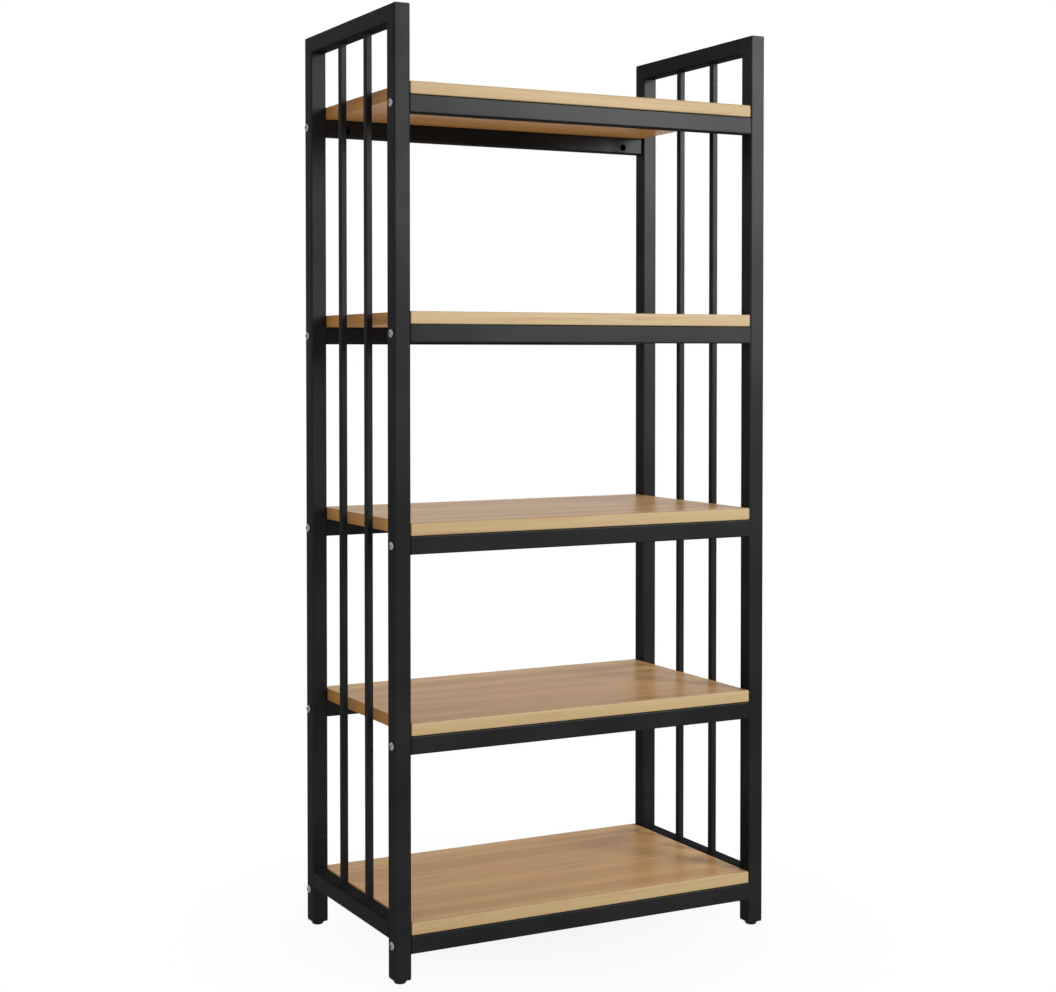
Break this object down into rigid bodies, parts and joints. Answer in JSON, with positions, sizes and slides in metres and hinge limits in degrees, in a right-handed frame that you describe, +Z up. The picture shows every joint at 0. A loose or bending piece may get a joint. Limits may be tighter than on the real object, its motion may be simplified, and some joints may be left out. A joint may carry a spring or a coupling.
{
  "type": "open bookcase",
  "caption": "Tall open bookcase with black square-tube side frames, slim upright side bars, bolted cross rails, wood-look boards and screw-in levelling feet.",
  "frame": {"origin": "on the floor, under the middle of the bookcase", "axes": "+Z up, +X to the right seen from the front, +Y to the rear; the front faces -Y"},
  "size_m": [0.637, 0.325, 1.3755],
  "materials": {
    "black_coat": "satin black powder coat",
    "oak_board": "light oak decor on board, satin",
    "bright_zinc": "bright zinc plate",
    "stem_steel": "plain zinc plate",
    "black_plastic": "matt black moulded plastic"
  },
  "bodies": {
    "case": {"left_front_post": "black_coat", "left_rear_post": "black_coat", "right_front_post": "black_coat", "right_rear_post": "black_coat", "left_top_rail": "black_coat", "right_top_rail": "black_coat", "left_bottom_rail": "black_coat", "right_bottom_rail": "black_coat", "left_front_bar": "black_coat", "left_rear_bar": "black_coat", "right_front_bar": "black_coat", "right_rear_bar": "black_coat", "bottom_front_rail": "black_coat", "bottom_rear_rail": "black_coat", "lower_front_rail": "black_coat", "lower_rear_rail": "black_coat", "middle_front_rail": "black_coat", "middle_rear_rail": "black_coat", "upper_front_rail": "black_coat", "upper_rear_rail": "black_coat", "top_front_rail": "black_coat", "top_rear_rail": "black_coat", "bottom_board": "oak_board", "lower_board": "oak_board", "middle_board": "oak_board", "upper_board": "oak_board", "top_board": "oak_board", "bottom_left_front_bolt": "bright_zinc", "bottom_left_rear_bolt": "bright_zinc", "bottom_right_front_bolt": "bright_zinc", "bottom_right_rear_bolt": "bright_zinc", "lower_left_front_bolt": "bright_zinc", "lower_left_rear_bolt": "bright_zinc", "lower_right_front_bolt": "bright_zinc", "lower_right_rear_bolt": "bright_zinc", "middle_left_front_bolt": "bright_zinc", "middle_left_rear_bolt": "bright_zinc", "middle_right_front_bolt": "bright_zinc", "middle_right_rear_bolt": "bright_zinc", "upper_left_front_bolt": "bright_zinc", "upper_left_rear_bolt": "bright_zinc", "upper_right_front_bolt": "bright_zinc", "upper_right_rear_bolt": "bright_zinc", "top_left_front_bolt": "bright_zinc", "top_left_rear_bolt": "bright_zinc", "top_right_front_bolt": "bright_zinc", "top_right_rear_bolt": "bright_zinc", "left_front_foot_plug": "black_plastic", "left_rear_foot_plug": "black_plastic", "right_front_foot_plug": "black_plastic", "right_rear_foot_plug": "black_plastic"},
    "left_front_pad": {"left_front_foot_pad": "black_plastic"},
    "left_front_stem": {"left_front_foot_stem": "stem_steel"},
    "left_rear_pad": {"left_rear_foot_pad": "black_plastic"},
    "left_rear_stem": {"left_rear_foot_stem": "stem_steel"},
    "right_front_pad": {"right_front_foot_pad": "black_plastic"},
    "right_front_stem": {"right_front_foot_stem": "stem_steel"},
    "right_rear_pad": {"right_rear_foot_pad": "black_plastic"},
    "right_rear_stem": {"right_rear_foot_stem": "stem_steel"}
  },
  "joints": [
    {"name": "left_front_foot_travel", "type": "slide", "parent": "case", "child": "left_front_pad", "axis": [0, 0, -1], "range_m": [0, 0.01]},
    {"name": "left_front_stem_turn", "type": "hinge", "parent": "left_front_pad", "child": "left_front_stem", "pos_m": [-0.3025, -0.15, 0], "axis": [0, 0, -1], "range_deg": [0, 2880]},
    {"name": "left_rear_foot_travel", "type": "slide", "parent": "case", "child": "left_rear_pad", "axis": [0, 0, -1], "range_m": [0, 0.01]},
    {"name": "left_rear_stem_turn", "type": "hinge", "parent": "left_rear_pad", "child": "left_rear_stem", "pos_m": [-0.3025, 0.15, 0], "axis": [0, 0, -1], "range_deg": [0, 2880]},
    {"name": "right_front_foot_travel", "type": "slide", "parent": "case", "child": "right_front_pad", "axis": [0, 0, -1], "range_m": [0, 0.01]},
    {"name": "right_front_stem_turn", "type": "hinge", "parent": "right_front_pad", "child": "right_front_stem", "pos_m": [0.3025, -0.15, 0], "axis": [0, 0, -1], "range_deg": [0, 2880]},
    {"name": "right_rear_foot_travel", "type": "slide", "parent": "case", "child": "right_rear_pad", "axis": [0, 0, -1], "range_m": [0, 0.01]},
    {"name": "right_rear_stem_turn", "type": "hinge", "parent": "right_rear_pad", "child": "right_rear_stem", "pos_m": [0.3025, 0.15, 0], "axis": [0, 0, -1], "range_deg": [0, 2880]}
  ],
  "couplings": [
    {"joint": "left_front_foot_travel", "follows": "left_front_stem_turn", "m_per_rad": 0.00019894},
    {"joint": "left_rear_foot_travel", "follows": "left_rear_stem_turn", "m_per_rad": 0.00019894},
    {"joint": "right_front_foot_travel", "follows": "right_front_stem_turn", "m_per_rad": 0.00019894},
    {"joint": "right_rear_foot_travel", "follows": "right_rear_stem_turn", "m_per_rad": 0.00019894}
  ]
}
